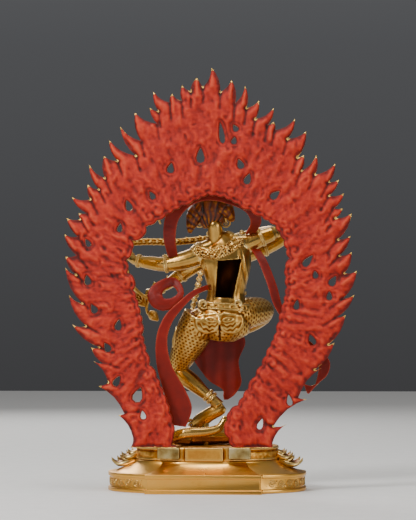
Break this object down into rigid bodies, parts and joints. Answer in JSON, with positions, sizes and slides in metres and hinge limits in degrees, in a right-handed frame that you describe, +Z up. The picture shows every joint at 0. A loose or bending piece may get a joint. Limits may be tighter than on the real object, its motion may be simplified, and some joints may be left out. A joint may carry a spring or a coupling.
{
  "type": "dancing deity statue with flame aureole",
  "caption": "Gilt cast-metal dancing figure with bow and arrow on a lotus base, with red scarves and a separate red flame aureole that lifts out of its sockets.",
  "frame": {"origin": "centre of the flat underside of the base", "axes": "+Z up, the figure faces -Y, its left hand is at +X, the aureole stands behind it at +Y"},
  "size_m": [0.235, 0.112, 0.341],
  "materials": {
    "gilt_body": "fire-gilt cast copper alloy, satin, darker in the recesses",
    "gilt_base": "fire-gilt cast copper alloy, burnished",
    "gilt_patina": "fire-gilt, stippled all over, brown in the recesses",
    "gilt_ornament": "fire-gilt and chased",
    "raw_brass": "filed cast brass, ungilded",
    "copper_plate": "beaten copper sheet, dull",
    "hair_orange": "thin orange paint over gilt metal",
    "aureole_red": "vermilion paint, matt, over rough cast metal, bare gilt tips",
    "scarf_red": "vermilion paint, matt, gilt edges"
  },
  "bodies": {
    "base": {"plinth": "gilt_base", "base_plate": "copper_plate", "lotus_drum": "gilt_base", "lotus_seat": "gilt_base", "petals_lower": "gilt_base", "petals_upper": "gilt_base", "socket_left": "raw_brass", "socket_right": "raw_brass"},
    "figure": {"prone_figure": "gilt_body", "figure_rod": "raw_brass", "torso": "gilt_body", "tiger_trousers": "gilt_patina", "left_shin": "gilt_body", "right_shin": "gilt_body", "head": "gilt_body", "hair": "hair_orange", "crown": "gilt_ornament", "earrings": "gilt_ornament", "neck_rings": "gilt_ornament", "flower_collar": "gilt_ornament", "long_garland": "gilt_ornament", "belt": "gilt_ornament", "left_bow_arm": "gilt_body", "right_arrow_arm": "gilt_body", "left_lotus_arm": "gilt_body", "right_goad_arm": "gilt_body", "armlets": "gilt_ornament", "bracelets": "gilt_ornament", "anklets": "gilt_ornament", "flower_bow": "gilt_ornament", "flower_arrow": "gilt_ornament", "lotus_spray": "gilt_ornament", "goad": "gilt_ornament", "scarf_arch": "scarf_red", "scarf_right": "scarf_red", "scarf_left": "scarf_red", "scarf_loop": "scarf_red", "loincloth": "scarf_red"},
    "aureole": {"flame_aureole": "aureole_red"}
  },
  "joints": [
    {"name": "figure_lift", "type": "slide", "parent": "base", "child": "figure", "axis": [0, 0, 1], "range_m": [0, 0.025]},
    {"name": "aureole_lift", "type": "slide", "parent": "base", "child": "aureole", "axis": [0, 0, 1], "range_m": [0, 0.025]}
  ]
}
